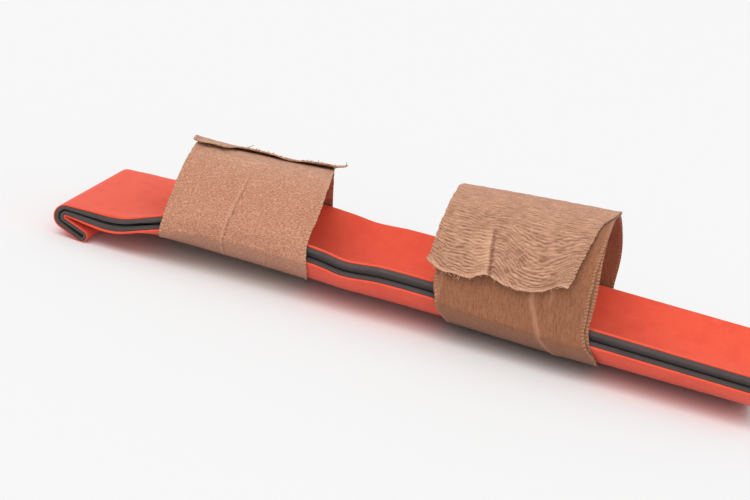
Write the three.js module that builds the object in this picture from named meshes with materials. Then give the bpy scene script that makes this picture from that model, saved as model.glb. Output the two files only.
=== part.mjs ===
// Aluminium foam splint: a thin metal strip bonded between two foam sheets, folded in half with
// the grey face inside, formed as a trough and hooked under at the palm end, with two elastic
// bandages wound round it. Millimetres, +Z up, +X from the palm end to the elbow end.
import * as THREE from "three";

// Splint strip, laid out flat
const STRIP_LENGTH = 914;
const STRIP_WIDTH = 108;
const RED_FOAM = 2.05;
const GREY_FOAM = 2;
const CORE = 0.4;
const GLUE_LINE = 0.2;
const CORE_SETBACK = 0.8;

// Half-fold and hook
const FOLD_GAP = 1.1;
const FOLD_END_GAP = 2.2;
const HOOK_RADIUS = 4.1;
const HOOK_TURN = THREE.MathUtils.degToRad(158.5);
const HOOK_LEG = 14.5;
const PRESS_REACH = 24;

// Trough
const TROUGH_RADIUS = 64.6;
const PALM_HEIGHT = 16.4;

// Hollow that the bandages are wound round, above the trough
const ARM_BREADTH = 95;
const ARM_DEPTH = 76;

// Bandages
const BANDAGE = 0.8;
const TURN_GAP = 0.2;
const SEAT = 0.6;
const FREE_STEPS = 5;
const WRIST = {
  at: 100.5,
  width: 90,
  lean: 4,
  leanAngle: THREE.MathUtils.degToRad(-57),
  start: THREE.MathUtils.degToRad(60),
  wound: THREE.MathUtils.degToRad(450),
  free: 14,
  bow: 0,
};
const ELBOW = {
  at: 278.5,
  width: 90,
  lean: 8.2,
  leanAngle: THREE.MathUtils.degToRad(35),
  start: THREE.MathUtils.degToRad(60),
  wound: THREE.MathUtils.degToRad(855),
  free: 46,
  bow: 5,
};

// Facets
const ACROSS = 8;
const BANDAGE_ACROSS = 5;
const RING_STEP = THREE.MathUtils.degToRad(9);

// How hard the foam is pressed: shares of its free thickness, by distance from the hook as a
// share of PRESS_REACH, and of the half-fold's end gap on the hook's leg.
const PRESS = [
  { at: 0, foam: 0.58 },
  { at: 0.17, foam: 0.65 },
  { at: 0.6, foam: 0.87 },
  { at: 1, foam: 1 },
];
const LEG_PRESS = [
  { at: 0, foam: 0.58, gap: 0.5 },
  { at: 0.5, foam: 0.54, gap: 0.75 },
  { at: 1, foam: 0.46, gap: 1 },
];

// The straight run from the hook to the cut ends: at is a share of its length, height a share of
// PALM_HEIGHT, curl a share of the full curvature of the trough, gap a share of FOLD_GAP.
const RUN_TABLE = [
  { at: 0, height: 1, curl: 0, gap: 1 },
  { at: 0.054, height: 0.95, curl: 0, gap: 1.6 },
  { at: 0.082, height: 0.91, curl: 0.08, gap: 1.7 },
  { at: 0.11, height: 0.79, curl: 0.37, gap: 1.6 },
  { at: 0.139, height: 0.69, curl: 0.64, gap: 1.3 },
  { at: 0.191, height: 0.6, curl: 0.92, gap: 1 },
  { at: 0.26, height: 0.57, curl: 1, gap: 1 },
  { at: 0.33, height: 0.545, curl: 1, gap: 1 },
  { at: 0.37, height: 0.51, curl: 0.98, gap: 1 },
  { at: 0.406, height: 0.5, curl: 0.9, gap: 1.1 },
  { at: 0.46, height: 0.5, curl: 1, gap: 1 },
  { at: 0.56, height: 0.5, curl: 1, gap: 1 },
  { at: 0.69, height: 0.445, curl: 0.98, gap: 1 },
  { at: 0.79, height: 0.445, curl: 0.95, gap: 1 },
  { at: 1, height: 0.47, curl: 0.88, gap: 1 },
];

// The hollow's section: breadth is a share of ARM_BREADTH, depth of ARM_DEPTH.
const ARM_TABLE = [
  { at: 0.12, breadth: 0.65, depth: 0.63 },
  { at: 0.34, breadth: 0.76, depth: 0.72 },
  { at: 0.52, breadth: 0.86, depth: 0.86 },
  { at: 0.76, breadth: 1, depth: 1 },
  { at: 1, breadth: 1.04, depth: 1.05 },
];

// Each bandage's free end: at is a share of its free length, lift is in turns, tilt is how much
// more of it one edge lifts, and shift and width are shares of the bandage's width.
const TAIL_TABLE = [
  { at: 0, lift: 0, tilt: 0, shift: 0, width: 1 },
  { at: 0.5, lift: 0.7, tilt: 0.6, shift: 0.04, width: 1.04 },
  { at: 1, lift: 1.7, tilt: 1.6, shift: 0.09, width: 1.1 },
];
const FLAP_TABLE = [
  { at: 0, lift: 0, tilt: 0, shift: 0, width: 1 },
  { at: 0.2, lift: 0.6, tilt: 0, shift: 0, width: 1 },
  { at: 0.5, lift: 1.2, tilt: 0, shift: -0.03, width: 1 },
  { at: 1, lift: 2.4, tilt: -0.3, shift: -0.11, width: 0.92 },
];

/** A column of a table at a place between its rows, as a smooth curve through them. */
function read(table, column, at) {
  const last = table.length - 1;
  if (at <= table[0].at) return table[0][column];
  if (at >= table[last].at) return table[last][column];
  const slope = (i) => {
    const low = table[Math.max(i - 1, 0)];
    const high = table[Math.min(i + 1, last)];
    return (high[column] - low[column]) / (high.at - low.at);
  };
  const i = table.findIndex((row) => row.at > at) - 1;
  const span = table[i + 1].at - table[i].at;
  const t = (at - table[i].at) / span;
  const start = (1 + 2 * t) * (1 - t) ** 2 * table[i][column] + t * (1 - t) ** 2 * span * slope(i);
  const end = t * t * (3 - 2 * t) * table[i + 1][column] - t * t * (1 - t) * span * slope(i + 1);
  return start + end;
}

/** Where the layers of one half lie, outwards from the middle of the fold. */
function layers(foam, halfGap) {
  const greyTop = halfGap + GREY_FOAM * foam;
  const coreBottom = greyTop + GLUE_LINE;
  const redBottom = coreBottom + CORE + GLUE_LINE;
  return {
    grey_foam: [halfGap, greyTop],
    aluminium_core: [coreBottom, coreBottom + CORE],
    red_foam: [redBottom, redBottom + RED_FOAM * foam],
  };
}

const FREE_HALF = layers(1, FOLD_GAP / 2).red_foam[1];
const END_MIDDLE = layers(read(LEG_PRESS, "foam", 1), FOLD_END_GAP / 2).aluminium_core[0];
const HALF_LENGTH = (STRIP_LENGTH - Math.PI * END_MIDDLE) / 2;
const RUN = HALF_LENGTH - HOOK_RADIUS * HOOK_TURN - HOOK_LEG;

/** The middle of the fold at a distance from the hook along the straight run. */
function runHeight(along) {
  return PALM_HEIGHT * read(RUN_TABLE, "height", along / RUN);
}

function runCurl(along) {
  return Math.max(read(RUN_TABLE, "curl", along / RUN), 0) / TROUGH_RADIUS;
}

/** A station on the straight run: its middle, its upward normal, and how it is curled and pressed. */
function runStation(along) {
  const rise = (runHeight(along + 1) - runHeight(along - 1)) / 2;
  const size = Math.hypot(1, rise);
  return {
    x: along,
    z: runHeight(along),
    normal: [-rise / size, 1 / size],
    curl: runCurl(along),
    foam: read(PRESS, "foam", along / PRESS_REACH),
    halfGap: (FOLD_GAP / 2) * read(RUN_TABLE, "gap", along / RUN),
  };
}

/** A station on the hook's bend, at an angle from its start. */
function hookStation(angle) {
  const normal = [-Math.sin(angle), Math.cos(angle)];
  return {
    x: HOOK_RADIUS * normal[0],
    z: PALM_HEIGHT - HOOK_RADIUS + HOOK_RADIUS * normal[1],
    normal,
    curl: 0,
    foam: PRESS[0].foam,
    halfGap: FOLD_GAP / 2,
  };
}

/** A station on the hook's leg, at a distance from the end of its bend. */
function legStation(along) {
  const root = hookStation(HOOK_TURN);
  const at = along / HOOK_LEG;
  return {
    ...root,
    x: root.x + along * -root.normal[1],
    z: root.z + along * root.normal[0],
    foam: read(LEG_PRESS, "foam", at),
    halfGap: (FOLD_END_GAP / 2) * read(LEG_PRESS, "gap", at),
  };
}

/** Evenly spread places from one value to another, both included. */
function spread(from, to, count) {
  return Array.from({ length: count + 1 }, (_, i) => from + ((to - from) * i) / count);
}

// Stations from the cut ends to the half-fold, closer together where the section changes.
const RUN_PLACES = [
  ...spread(1, 0.54, 4),
  ...spread(0.48, 0.24, 5),
  ...spread(0.18, 0.06, 5),
  0.035,
  0.015,
];
const HALF_STATIONS = [
  ...RUN_PLACES.map((share) => runStation(share * RUN)),
  ...spread(0, HOOK_TURN, 6).map(hookStation),
  ...spread(0, HOOK_LEG, 3).slice(1).map(legStation),
];
const FOLD_FACETS = 6;

/** The whole strip's stations: out on the arm side, round the half-fold, and back underneath. */
function stripStations() {
  const last = HALF_STATIONS.at(-1);
  const out = HALF_STATIONS.map((station) => ({ ...station, side: 1, turn: 0 }));
  const round = spread(0, Math.PI, FOLD_FACETS)
    .slice(1, -1)
    .map((turn) => ({ ...last, side: 1, turn }));
  const back = HALF_STATIONS.map((station) => ({ ...station, side: -1, turn: 0 })).reverse();
  return [...out, ...round, ...back];
}

/** A point of the folded strip: across its width, and out from the middle of the fold. */
function stripPoint(station, across, out) {
  const [nx, nz] = station.normal;
  if (station.turn) {
    const along = out * Math.sin(station.turn);
    const up = out * Math.cos(station.turn);
    return [station.x + up * nx + along * -nz, across, station.z + up * nz + along * nx];
  }
  const up = station.side * out;
  if (station.curl < 1e-6) {
    return [station.x + up * nx, across, station.z + up * nz];
  }
  const radius = 1 / station.curl;
  const middle = layers(station.foam, station.halfGap).aluminium_core[0];
  const angle = across / (radius - station.side * middle);
  const height = radius - (radius - up) * Math.cos(angle);
  return [station.x + height * nx, (radius - up) * Math.sin(angle), station.z + height * nz];
}

/** Splits the facets of a box's back as its front is split, so that sheets nest when formed. */
function matchDiagonals(geometry) {
  const { index, groups } = geometry;
  const { start, count } = groups.at(-1);
  for (let i = start; i < start + count; i += 6) {
    index.setX(i + 2, index.getX(i + 4));
    index.setX(i + 3, index.getX(i));
  }
}

/** A closed sheet: a box's grid of facets, each vertex moved by place(station, across, out). */
function sheet(name, stationCount, acrossCount, place, material) {
  const geometry = new THREE.BoxGeometry(1, 1, 1, stationCount, acrossCount, 1);
  matchDiagonals(geometry);
  const points = geometry.attributes.position;
  for (let i = 0; i < points.count; i += 1) {
    const station = Math.round((points.getX(i) + 0.5) * stationCount);
    points.setXYZ(i, ...place(station, points.getY(i), points.getZ(i) + 0.5));
  }
  geometry.computeVertexNormals();
  const mesh = new THREE.Mesh(geometry, material);
  mesh.name = name;
  return mesh;
}

/** One layer of the folded strip, this far short of the strip's edges and cut ends. */
function stripLayer(name, setback, material) {
  const stations = stripStations();
  const ends = [0, stations.length - 1];
  const limit = STRIP_WIDTH / 2 - setback;
  const place = (index, share, out) => {
    const station = stations[index];
    const moved = ends.includes(index) ? { ...station, x: station.x - setback } : station;
    const across = THREE.MathUtils.clamp(-share * STRIP_WIDTH, -limit, limit);
    const [low, high] = layers(station.foam, station.halfGap)[name];
    return stripPoint(moved, across, low + (high - low) * out);
  };
  return sheet(name, stations.length - 1, ACROSS, place, material);
}

/** The trough's key points in section at a place on the run, on the side of the given sign. */
function troughCorners(along, sign) {
  const station = { ...runStation(along), normal: [0, 1] };
  const [core] = layers(1, FOLD_GAP / 2).aluminium_core;
  const corner = (side, out) => {
    const [, y, z] = stripPoint({ ...station, side, turn: 0 }, (sign * STRIP_WIDTH) / 2, out);
    return { y, z };
  };
  return [corner(1, FREE_HALF), corner(1, FOLD_GAP / 2), corner(-1, core), corner(-1, FREE_HALF)];
}

/** How far the arm hollow and the trough together reach in the direction at this ring angle. */
function reach(along, angle) {
  const ny = Math.sin(angle);
  const nz = -Math.cos(angle);
  const halfBreadth = (ARM_BREADTH / 2) * read(ARM_TABLE, "breadth", along / RUN);
  const halfDepth = (ARM_DEPTH / 2) * read(ARM_TABLE, "depth", along / RUN);
  const base = runHeight(along);
  const armMiddle = base + FREE_HALF + halfDepth;
  const arm = armMiddle * nz + Math.hypot(halfBreadth * ny, halfDepth * nz);
  const curl = Math.max(runCurl(along), 1e-4);
  const radius = 1 / curl + FREE_HALF;
  const limit = STRIP_WIDTH / 2 / (radius - FREE_HALF / 2);
  const turned = Math.abs(Math.atan2(ny, -nz));
  const under = turned < limit ? radius + (base - FREE_HALF + radius) * nz : -Infinity;
  const sign = ny < 0 ? -1 : 1;
  const corners = troughCorners(along, sign).map(({ y, z }) => y * ny + z * nz);
  return Math.max(arm, under, ...corners);
}

/** The corner between two flats of the ring at this angle, this far out from what it is wound on. */
function ringPoint(along, angle, out) {
  const [first, second] = [angle - RING_STEP / 2, angle + RING_STEP / 2];
  const a = reach(along, first) + out;
  const b = reach(along, second) + out;
  const det = Math.sin(second - first);
  const y = (-a * Math.cos(second) + b * Math.cos(first)) / det;
  const z = (-a * Math.sin(second) + b * Math.sin(first)) / det;
  return { y, z };
}

const HOOK_BOTTOM = (() => {
  const last = legStation(HOOK_LEG);
  const [, out] = layers(last.foam, last.halfGap).red_foam;
  const turns = spread(0, Math.PI, FOLD_FACETS);
  return Math.min(...turns.map((turn) => stripPoint({ ...last, side: 1, turn }, 0, out)[2]));
})();

/** The place on the ring this far round from an angle. */
function walkRing(along, angle, distance, out) {
  let from = ringPoint(along, angle, out);
  let left = distance;
  for (let next = angle + RING_STEP; next < angle + 2 * Math.PI; next += RING_STEP) {
    const to = ringPoint(along, next, out);
    const length = Math.hypot(to.y - from.y, to.z - from.z);
    if (left <= length) {
      const share = length > 0 ? left / length : 0;
      return { y: from.y + (to.y - from.y) * share, z: from.z + (to.z - from.z) * share };
    }
    left -= length;
    from = to;
  }
  return from;
}

/** One bandage: wound from its hidden start, a turn's thickness further out each time it passes. */
function bandage(name, size, freeTable, material) {
  const { at, width, lean, leanAngle, start, wound, free, bow } = size;
  const pitch = BANDAGE + TURN_GAP;
  const perTurn = Math.round((2 * Math.PI) / RING_STEP);
  const first = (Math.round(start / RING_STEP) + 0.5) * RING_STEP;
  const woundSteps = Math.round(wound / RING_STEP);
  const place = (index, across, out) => {
    const loose = Math.max(index - woundSteps, 0) / FREE_STEPS;
    const steps = Math.min(index, woundSteps);
    const climb = THREE.MathUtils.clamp(((steps % perTurn) - perTurn + 4) / 3, 0, 1);
    const below = Math.floor(steps / perTurn) + climb;
    const angle = first + steps * RING_STEP;
    const shift = read(freeTable, "shift", loose) + across * read(freeTable, "width", loose);
    const x = at + lean * Math.cos(angle - leanAngle) + width * shift;
    const lift = read(freeTable, "lift", loose) * (1 + read(freeTable, "tilt", loose) * across);
    const height = SEAT + pitch * (below + lift) + BANDAGE * out;
    const point = walkRing(x, angle, loose * (free + bow * (1 - 4 * across ** 2)), height);
    return [x, point.y, Math.max(point.z, HOOK_BOTTOM)];
  };
  return sheet(name, woundSteps + FREE_STEPS, BANDAGE_ACROSS, place, material);
}

const material = (color, roughness, metalness = 0) =>
  new THREE.MeshStandardMaterial({ color, roughness, metalness });

const splint = new THREE.Group();
splint.name = "aluminium_foam_splint";
splint.add(
  stripLayer("red_foam", 0, material(0xd8543f, 0.75)),
  stripLayer("grey_foam", 0, material(0x4b4243, 0.8)),
  stripLayer("aluminium_core", CORE_SETBACK, material(0xb9bcc0, 0.4, 1)),
  bandage("wrist_wrap", WRIST, TAIL_TABLE, material(0xcd9a7c, 0.9)),
  bandage("elbow_wrap", ELBOW, FLAP_TABLE, material(0xc28e6f, 0.9)),
);

// The part stands on its hook and on the elbow bandage, with its middle over the origin.
const box = new THREE.Box3().setFromObject(splint);
const middle = box.getCenter(new THREE.Vector3());
splint.position.set(-middle.x, -middle.y, -box.min.z);

export default splint;
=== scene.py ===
"""Looks of an aluminium foam splint and the two crepe bandages wound round it.

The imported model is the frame. The foam layers, the metal strip and the bandages are formed again
here from the same sizes, finer and smoother, and each stands for its CAD node. Sizes are in
millimetres, and the finished meshes in metres.
"""

import logging
import math
from dataclasses import dataclass, field
from enum import Enum

import bpy
import numpy as np
from mathutils import Matrix, Vector


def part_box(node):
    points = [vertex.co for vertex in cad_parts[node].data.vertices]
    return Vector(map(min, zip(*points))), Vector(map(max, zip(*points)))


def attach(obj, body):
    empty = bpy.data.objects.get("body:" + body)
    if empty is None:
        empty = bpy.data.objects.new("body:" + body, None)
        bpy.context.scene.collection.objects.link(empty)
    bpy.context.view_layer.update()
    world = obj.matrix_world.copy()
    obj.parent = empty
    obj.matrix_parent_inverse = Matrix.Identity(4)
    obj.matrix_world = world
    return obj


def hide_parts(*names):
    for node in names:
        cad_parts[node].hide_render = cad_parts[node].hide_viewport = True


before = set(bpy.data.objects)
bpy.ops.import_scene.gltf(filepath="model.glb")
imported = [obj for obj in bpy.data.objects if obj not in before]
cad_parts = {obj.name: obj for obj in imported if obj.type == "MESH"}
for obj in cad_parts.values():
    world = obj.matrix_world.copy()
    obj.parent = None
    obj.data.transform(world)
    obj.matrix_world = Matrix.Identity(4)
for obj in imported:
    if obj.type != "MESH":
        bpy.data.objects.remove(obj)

log = logging.getLogger("splint")

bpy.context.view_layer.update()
METRE = 0.001
FULL_TURN = 2 * math.pi

# One turn of a bandage, nearly, and how far apart its rows of vertices are: where it is hidden,
# where it shows, and over the last part before the cut end.
CIRCUMFERENCE = 265.0
HIDDEN_STEP = 4.0
SHOWN_STEP = 1.25
NEAR_STEP = 0.45
NEAR_TURNS = 0.3

# Distance from one pucker's crest to the next, for the two waves that the puckers change between.
PUCKER_PITCHES = (2.05, 1.85)

# Vertices across the top or bottom of a layer of the strip, without its rounded edges.
LAYER_COLUMNS = 35


class Layer(Enum):
    """The three layers of the splint's strip, by their CAD nodes' names."""

    RED = "red_foam"
    GREY = "grey_foam"
    CORE = "aluminium_core"


@dataclass(frozen=True)
class Course:
    """A short table whose columns are read as smooth curves through its rows."""

    columns: tuple[str, ...]
    rows: tuple[tuple[float, ...], ...]

    def read(self, column: str, at: np.ndarray) -> np.ndarray:
        """Reads a column at places between its rows.

        Args:
            column: The column's name.
            at: Places, in the units of the first column.

        Returns:
            The column's values there, held level past both ends.
        """
        table = np.array(self.rows, float)
        place = table[:, 0]
        value = table[:, self.columns.index(column)]
        low = np.maximum(np.arange(len(place)) - 1, 0)
        high = np.minimum(np.arange(len(place)) + 1, len(place) - 1)
        slope = (value[high] - value[low]) / (place[high] - place[low])
        at = np.asarray(at, float)
        i = np.clip(np.searchsorted(place, at, side="right") - 1, 0, len(place) - 2)
        span = place[i + 1] - place[i]
        t = np.clip((at - place[i]) / span, 0, 1)
        start = (1 + 2 * t) * (1 - t) ** 2 * value[i] + t * (1 - t) ** 2 * span * slope[i]
        end = t * t * (3 - 2 * t) * value[i + 1] - t * t * (1 - t) * span * slope[i + 1]
        return start + end


@dataclass(frozen=True)
class Unevenness:
    """A smooth field of hills and hollows that is the same on each run."""

    seed: int
    size: int = 64

    def read(self, x: np.ndarray, y: np.ndarray) -> np.ndarray:
        """Reads the field.

        Args:
            x: Places along the first axis, with hills about one unit apart.
            y: Places along the second.

        Returns:
            Height from -1 to 1 at each place.
        """
        hills = np.random.default_rng(self.seed).uniform(-1, 1, (self.size, self.size))
        x, y = np.broadcast_arrays(np.asarray(x, float), np.asarray(y, float))
        i, j = np.floor(x).astype(int), np.floor(y).astype(int)
        u, v = x - i, y - j
        u, v = u * u * (3 - 2 * u), v * v * (3 - 2 * v)
        i, j = i % self.size, j % self.size
        i1, j1 = (i + 1) % self.size, (j + 1) % self.size
        low = hills[i, j] * (1 - u) + hills[i1, j] * u
        high = hills[i, j1] * (1 - u) + hills[i1, j1] * u
        return low * (1 - v) + high * v


def ease(value: np.ndarray, low: float, high: float) -> np.ndarray:
    """A smooth step from 0 at low to 1 at high, downhill where high is the lesser."""
    t = np.clip((np.asarray(value, float) - low) / (high - low), 0, 1)
    return t * t * (3 - 2 * t)


def deselect() -> None:
    """Leaves nothing selected, so that an operator acts on the next primitive alone."""
    bpy.ops.object.select_all(action="DESELECT")


def choose(piece: bpy.types.Object) -> None:
    """Makes a piece the only one selected, and the active one.

    Args:
        piece: The piece that the next operator works on.
    """
    deselect()
    piece.select_set(True)
    bpy.context.view_layer.objects.active = piece


def formed_grid(
    name: str, points: np.ndarray, uv: np.ndarray, tones: dict[str, np.ndarray]
) -> bpy.types.Object:
    """Adds a grid primitive and forms it, vertex by vertex.

    Args:
        name: The piece's name.
        points: Rows by columns of places, in millimetres.
        uv: Rows by columns of places on the flat material, in metres.
        tones: Named values to keep at each vertex for the material.

    Returns:
        The open surface, with its front on the side where columns turn into rows.
    """
    rows, columns = points.shape[0] - 1, points.shape[1] - 1
    deselect()
    bpy.ops.mesh.primitive_grid_add(x_subdivisions=columns, y_subdivisions=rows, size=1)
    piece = bpy.context.active_object
    piece.name = name
    mesh = piece.data
    mesh.name = name
    flat = np.empty(len(mesh.vertices) * 3, np.float32)
    mesh.vertices.foreach_get("co", flat)
    flat = flat.reshape(-1, 3)
    column = np.rint((flat[:, 0] + 0.5) * columns).astype(int)
    row = np.rint((flat[:, 1] + 0.5) * rows).astype(int)
    mesh.vertices.foreach_set("co", (points[row, column] * METRE).astype(np.float32).ravel())
    corner = np.empty(len(mesh.loops), np.int32)
    mesh.loops.foreach_get("vertex_index", corner)
    mesh.uv_layers[0].name = "cloth"
    mesh.uv_layers[0].data.foreach_set(
        "uv", uv[row[corner], column[corner]].astype(np.float32).ravel()
    )
    for tone, values in tones.items():
        held = mesh.attributes.new(tone, "FLOAT", "POINT")
        held.data.foreach_set("value", values[row, column].astype(np.float32))
    mesh.update()
    return piece


def smooth(piece: bpy.types.Object, angle: float) -> None:
    """Shades a piece smooth, except across edges sharper than the angle in degrees."""
    choose(piece)
    bpy.ops.object.shade_smooth_by_angle(angle=math.radians(angle))


def finish_piece(
    piece: bpy.types.Object, material: bpy.types.Material, stands_for: str | None
) -> None:
    """Gives a piece its finish and its place in the part.

    Args:
        piece: The piece.
        material: Its finish.
        stands_for: The CAD node that it replaces, or None.
    """
    piece.data.materials.clear()
    piece.data.materials.append(material)
    if stands_for:
        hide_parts(stands_for)
    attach(piece, "root")
    log.info("%s: %d faces", piece.name, len(piece.data.polygons))


class Value:
    """A number in a material's node tree, on which sums are written as in Python."""

    def __init__(self, bench: "Bench", socket: bpy.types.NodeSocket) -> None:
        """Keeps the socket, and the bench that new nodes go on."""
        self.bench = bench
        self.socket = socket

    def _sum(self, operation: str, first: "Value | float", second: "Value | float") -> "Value":
        """One Math node on two values or numbers."""
        return self.bench.add("ShaderNodeMath", {"operation": operation}, {0: first, 1: second})

    def __add__(self, other: "Value | float") -> "Value":
        """This and another, added."""
        return self._sum("ADD", self, other)

    __radd__ = __add__

    def __sub__(self, other: "Value | float") -> "Value":
        """Another taken from this."""
        return self._sum("SUBTRACT", self, other)

    def __rsub__(self, other: float) -> "Value":
        """This taken from a number."""
        return self._sum("SUBTRACT", other, self)

    def __mul__(self, other: "Value | float") -> "Value":
        """This and another, multiplied."""
        return self._sum("MULTIPLY", self, other)

    __rmul__ = __mul__

    def sine(self) -> "Value":
        """The sine of this, in radians."""
        return self._sum("SINE", self, 0.0)

    def above(self, low: float, high: float) -> "Value":
        """A smooth step from 0 at low to 1 at high."""
        return self.bench.add(
            "ShaderNodeMapRange",
            {"interpolation_type": "SMOOTHSTEP"},
            {"Value": self, "From Min": low, "From Max": high, "To Min": 0.0, "To Max": 1.0},
        )


class Bench:
    """A new material with its shader, to which nodes are added."""

    def __init__(self, name: str) -> None:
        """Starts the material.

        Args:
            name: Its name.
        """
        self.material = bpy.data.materials.new(name)
        self.material.use_nodes = True
        self.tree = self.material.node_tree
        self.shader = self.tree.nodes["Principled BSDF"]

    def add(
        self,
        kind: str,
        settings: dict[str, object] | None = None,
        sockets: dict[str | int, object] | None = None,
        output: str | int = 0,
    ) -> Value:
        """Adds a node.

        Args:
            kind: The node's type.
            settings: Its properties, set first.
            sockets: Values or links of its inputs, by name or number.
            output: The output that is wanted.

        Returns:
            That output, as a value to work with.
        """
        node = self.tree.nodes.new(kind)
        for name, setting in (settings or {}).items():
            setattr(node, name, setting)
        for name, given in (sockets or {}).items():
            self.plug(given, node.inputs[name])
        return Value(self, node.outputs[output])

    def plug(self, given: object, socket: bpy.types.NodeSocket) -> None:
        """Links a value to a socket, or sets a plain number or colour there."""
        if isinstance(given, Value):
            self.tree.links.new(given.socket, socket)
        else:
            socket.default_value = given

    def mix(self, share: Value | float, first: object, second: object) -> Value:
        """Mixes two colours."""
        return self.add(
            "ShaderNodeMix", {"data_type": "RGBA"}, {0: share, 6: first, 7: second}, output=2
        )

    def noise(self, where: Value, scale: float, detail: float = 2, rough: float = 0.5) -> Value:
        """Smooth noise from 0 to 1, so many hills to the metre."""
        return self.add(
            "ShaderNodeTexNoise",
            {},
            {"Vector": where, "Scale": scale, "Detail": detail, "Roughness": rough},
        )

    def cells(self, where: Value, scale: float) -> Value:
        """Distance from the nearest cell's middle, so many cells to the metre."""
        return self.add("ShaderNodeTexVoronoi", {}, {"Vector": where, "Scale": scale})

    def stretched(self, where: Value, factors: tuple[float, float, float]) -> Value:
        """Coordinates multiplied axis by axis."""
        return self.add(
            "ShaderNodeVectorMath", {"operation": "MULTIPLY"}, {0: where, 1: factors}
        )

    def relief(self, height: Value, distance: float, strength: float = 1.0) -> None:
        """Raises the surface's shading by a height from 0 to 1, so many metres high."""
        bump = self.add(
            "ShaderNodeBump", {}, {"Height": height, "Distance": distance, "Strength": strength}
        )
        self.plug(bump, self.shader.inputs["Normal"])

    def set(self, **levels: object) -> None:
        """Sets or links the shader's own sockets, spaces written as underscores."""
        for name, level in levels.items():
            self.plug(level, self.shader.inputs[name.replace("_", " ")])


def srgb(red: float, green: float, blue: float) -> tuple[float, float, float, float]:
    """A colour given as a screen shows it, as light."""

    def light(level: float) -> float:
        """One channel of it."""
        share = level / 255
        return share / 12.92 if share <= 0.04045 else ((share + 0.055) / 1.055) ** 2.4

    return (light(red), light(green), light(blue), 1.0)


@dataclass(frozen=True)
class FoamFinish:
    """Closed-cell foam: a matt face with fine cells, faint mottling and rubbed places."""

    name: str
    base: tuple[float, float, float, float]
    deep: tuple[float, float, float, float]
    rubbed: tuple[float, float, float, float]
    roughness: float = 0.72
    cell: float = 0.00055

    def material(self) -> bpy.types.Material:
        """Builds the foam's material, on object coordinates.

        Returns:
            The material.
        """
        bench = Bench(self.name)
        where = bench.add("ShaderNodeTexCoord", output="Object")
        cells = bench.cells(where, 1 / self.cell)
        clouds = bench.noise(where, 90, 3)
        grain = bench.noise(where, 1400, 2, 0.6)
        scuffs = bench.noise(bench.stretched(where, (0.35, 1, 1)), 260, 4, 0.65)
        face = bench.mix(clouds.above(0.4, 0.75) * 0.35, self.base, self.deep)
        face = bench.mix(cells.above(0.35, 0.75) * 0.3, face, self.deep)
        face = bench.mix(scuffs.above(0.58, 0.78) * 0.3, face, self.rubbed)
        bench.set(
            Base_Color=face,
            Roughness=self.roughness + 0.12 * grain,
            Specular_IOR_Level=0.35,
            Sheen_Weight=0.12,
            Sheen_Roughness=0.5,
        )
        bench.relief(0.75 * (1 - cells) + 0.5 * grain + 0.8 * clouds, 0.00012, 0.6)
        return bench.material


@dataclass(frozen=True)
class MetalFinish:
    """Soft rolled aluminium, with fine lines along the strip and a few dull marks."""

    name: str = "rolled_aluminium"
    base: tuple[float, float, float, float] = (0.72, 0.73, 0.74, 1)

    def material(self) -> bpy.types.Material:
        """Builds the metal's material, on object coordinates.

        Returns:
            The material.
        """
        bench = Bench(self.name)
        where = bench.add("ShaderNodeTexCoord", output="Object")
        lines = bench.noise(bench.stretched(where, (20, 3000, 3000)), 1, 3, 0.6)
        marks = bench.noise(where, 160, 3)
        dull = bench.mix(marks.above(0.5, 0.75) * 0.4, self.base, (0.5, 0.5, 0.51, 1))
        bench.set(
            Base_Color=dull, Roughness=0.3 + 0.16 * lines + 0.1 * marks, Metallic=1.0
        )
        bench.relief(lines, 0.00003, 0.4)
        return bench.material


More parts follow.
